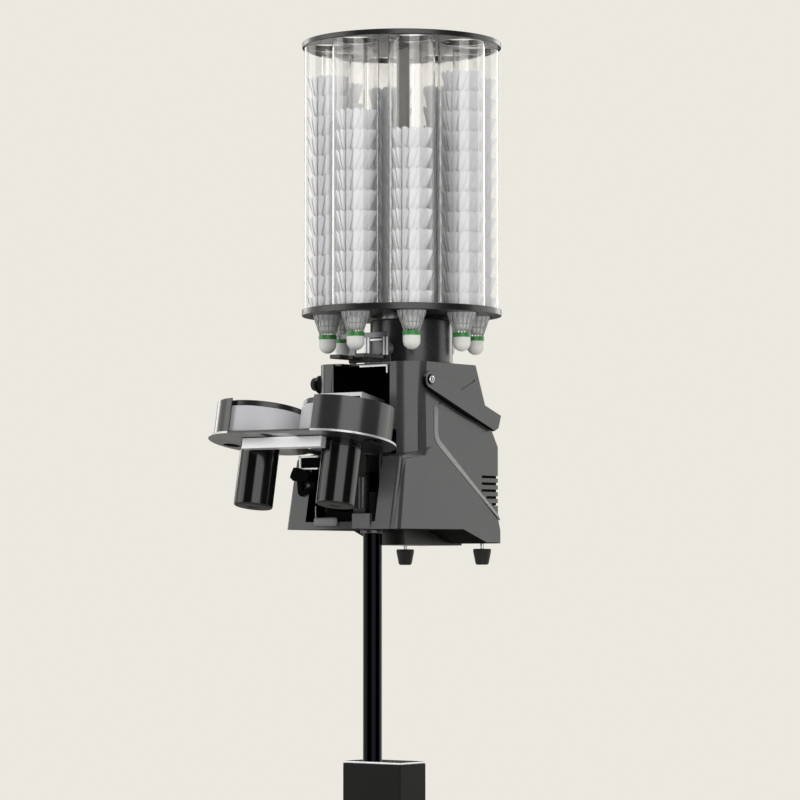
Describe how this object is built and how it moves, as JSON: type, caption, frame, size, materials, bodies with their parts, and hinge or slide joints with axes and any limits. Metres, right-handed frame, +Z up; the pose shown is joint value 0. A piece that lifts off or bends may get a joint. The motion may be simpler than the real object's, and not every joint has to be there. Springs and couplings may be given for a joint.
{
  "type": "shuttlecock machine",
  "caption": "Free-standing machine that turns a carousel of shuttlecock tubes over a tilting two-wheel launcher on a lifting pole.",
  "frame": {"origin": "on the floor under the lift pole's axis, at the base plate's underside", "axes": "+Z up, -Y is the launch direction, +X is to the right when looking along +Y"},
  "size_m": [0.46, 0.4731, 1.5176],
  "materials": {
    "black_steel": "satin black powder coat",
    "black_plastic": "fine moulded texture",
    "bright_steel": "turned and polished",
    "pole_chrome": "dark polished chrome",
    "grey_shell": "satin moulded",
    "neck_plastic": "smooth satin",
    "foot_rubber": "matt",
    "aluminium": "brushed",
    "guard_plastic": "satin",
    "tyre_foam": "ground polyurethane",
    "clear_tube": "clear extruded polycarbonate",
    "feather": "white nylon and cork",
    "motor_black": "gloss black enamel",
    "board_black": "black solder mask",
    "battery_wrap": "shrink film"
  },
  "bodies": {
    "stand": {"base_plate": "black_steel", "lift_column": "black_plastic", "column_collar": "bright_steel", "gas_strut_tube": "black_steel"},
    "lift": {"lift_pole": "pole_chrome", "gas_strut_rod": "bright_steel"},
    "head": {"shell_left": "grey_shell", "shell_right": "grey_shell", "base_tray": "black_plastic", "battery_pack": "battery_wrap", "control_board": "board_black", "rear_foot_left": "foot_rubber", "rear_foot_right": "foot_rubber", "pan_bearing": "bright_steel", "pan_motor": "motor_black", "neck_shell": "neck_plastic", "turntable_bearing": "bright_steel", "carousel_motor": "motor_black", "feeder_frame": "aluminium", "feed_motor": "aluminium", "handle_screw": "bright_steel", "handle_knob": "black_plastic", "tilt_bracket": "black_steel", "tilt_motor": "motor_black"},
    "power_switch": {"power_switch": "black_plastic"},
    "handle": {"carry_handle": "grey_shell"},
    "carousel": {"carousel_bottom_disc": "black_plastic", "carousel_top_disc": "black_plastic", "carousel_post": "black_steel", "clear_tube_1": "clear_tube", "clear_tube_2": "clear_tube", "clear_tube_3": "clear_tube", "clear_tube_4": "clear_tube", "clear_tube_5": "clear_tube", "clear_tube_6": "clear_tube", "clear_tube_7": "clear_tube", "clear_tube_8": "clear_tube", "shuttle_stack_1": "feather", "shuttle_stack_2": "feather", "shuttle_stack_3": "feather", "shuttle_stack_4": "feather", "shuttle_stack_5": "feather", "shuttle_stack_6": "feather", "shuttle_stack_7": "feather", "shuttle_stack_8": "feather"},
    "launcher": {"launcher_plate": "black_steel", "front_bar": "aluminium", "tilt_shaft": "bright_steel", "shuttle_chute": "aluminium", "wheel_guard_left": "guard_plastic", "wheel_guard_right": "guard_plastic", "wheel_motor_left": "motor_black", "wheel_motor_right": "motor_black"},
    "wheel_left": {"wheel_hub_left": "black_plastic", "wheel_tyre_left": "tyre_foam"},
    "wheel_right": {"wheel_hub_right": "black_plastic", "wheel_tyre_right": "tyre_foam"},
    "carriage": {"feed_carriage": "black_plastic"},
    "jaw_left": {"grip_jaw_left": "black_plastic"},
    "jaw_right": {"grip_jaw_right": "black_plastic"}
  },
  "joints": [
    {"name": "lift_slide", "type": "slide", "parent": "stand", "child": "lift", "axis": [0, 0, 1], "range_m": [-0.3, 0]},
    {"name": "head_pan", "type": "hinge", "parent": "lift", "child": "head", "pos_m": [0, 0, 0.79], "axis": [0, 0, 1], "range_deg": [-35, 35]},
    {"name": "carousel_turn", "type": "hinge", "parent": "head", "child": "carousel", "pos_m": [0, 0.071, 1.1], "axis": [0, 0, 1], "continuous": true},
    {"name": "handle_swing", "type": "hinge", "parent": "head", "child": "handle", "pos_m": [0, 0.005, 1.004], "axis": [1, 0, 0], "range_deg": [0, 25]},
    {"name": "launcher_tilt", "type": "hinge", "parent": "head", "child": "launcher", "pos_m": [0, -0.02, 0.9], "axis": [-1, 0, 0], "range_deg": [-20, 20]},
    {"name": "wheel_left_spin", "type": "hinge", "parent": "launcher", "child": "wheel_left", "pos_m": [-0.0764, -0.1629, 0.93177], "axis": [0, 0.1822, 0.9833], "continuous": true},
    {"name": "wheel_right_spin", "type": "hinge", "parent": "launcher", "child": "wheel_right", "pos_m": [0.0764, -0.1629, 0.93177], "axis": [0, 0.1822, 0.9833], "continuous": true},
    {"name": "carriage_slide", "type": "slide", "parent": "head", "child": "carriage", "axis": [0, 0, 1], "range_m": [0, 0.025]},
    {"name": "jaw_left_slide", "type": "slide", "parent": "carriage", "child": "jaw_left", "axis": [1, 0, 0], "range_m": [0, 0.0075]},
    {"name": "jaw_right_slide", "type": "slide", "parent": "carriage", "child": "jaw_right", "axis": [-1, 0, 0], "range_m": [0, 0.0075]},
    {"name": "switch_rock", "type": "hinge", "parent": "head", "child": "power_switch", "pos_m": [-0.046, 0.1812, 0.846], "axis": [-1, 0, 0], "range_deg": [0, 16]}
  ],
  "couplings": [
    {"joint": "jaw_right_slide", "follows": "jaw_left_slide", "ratio": 1}
  ]
}
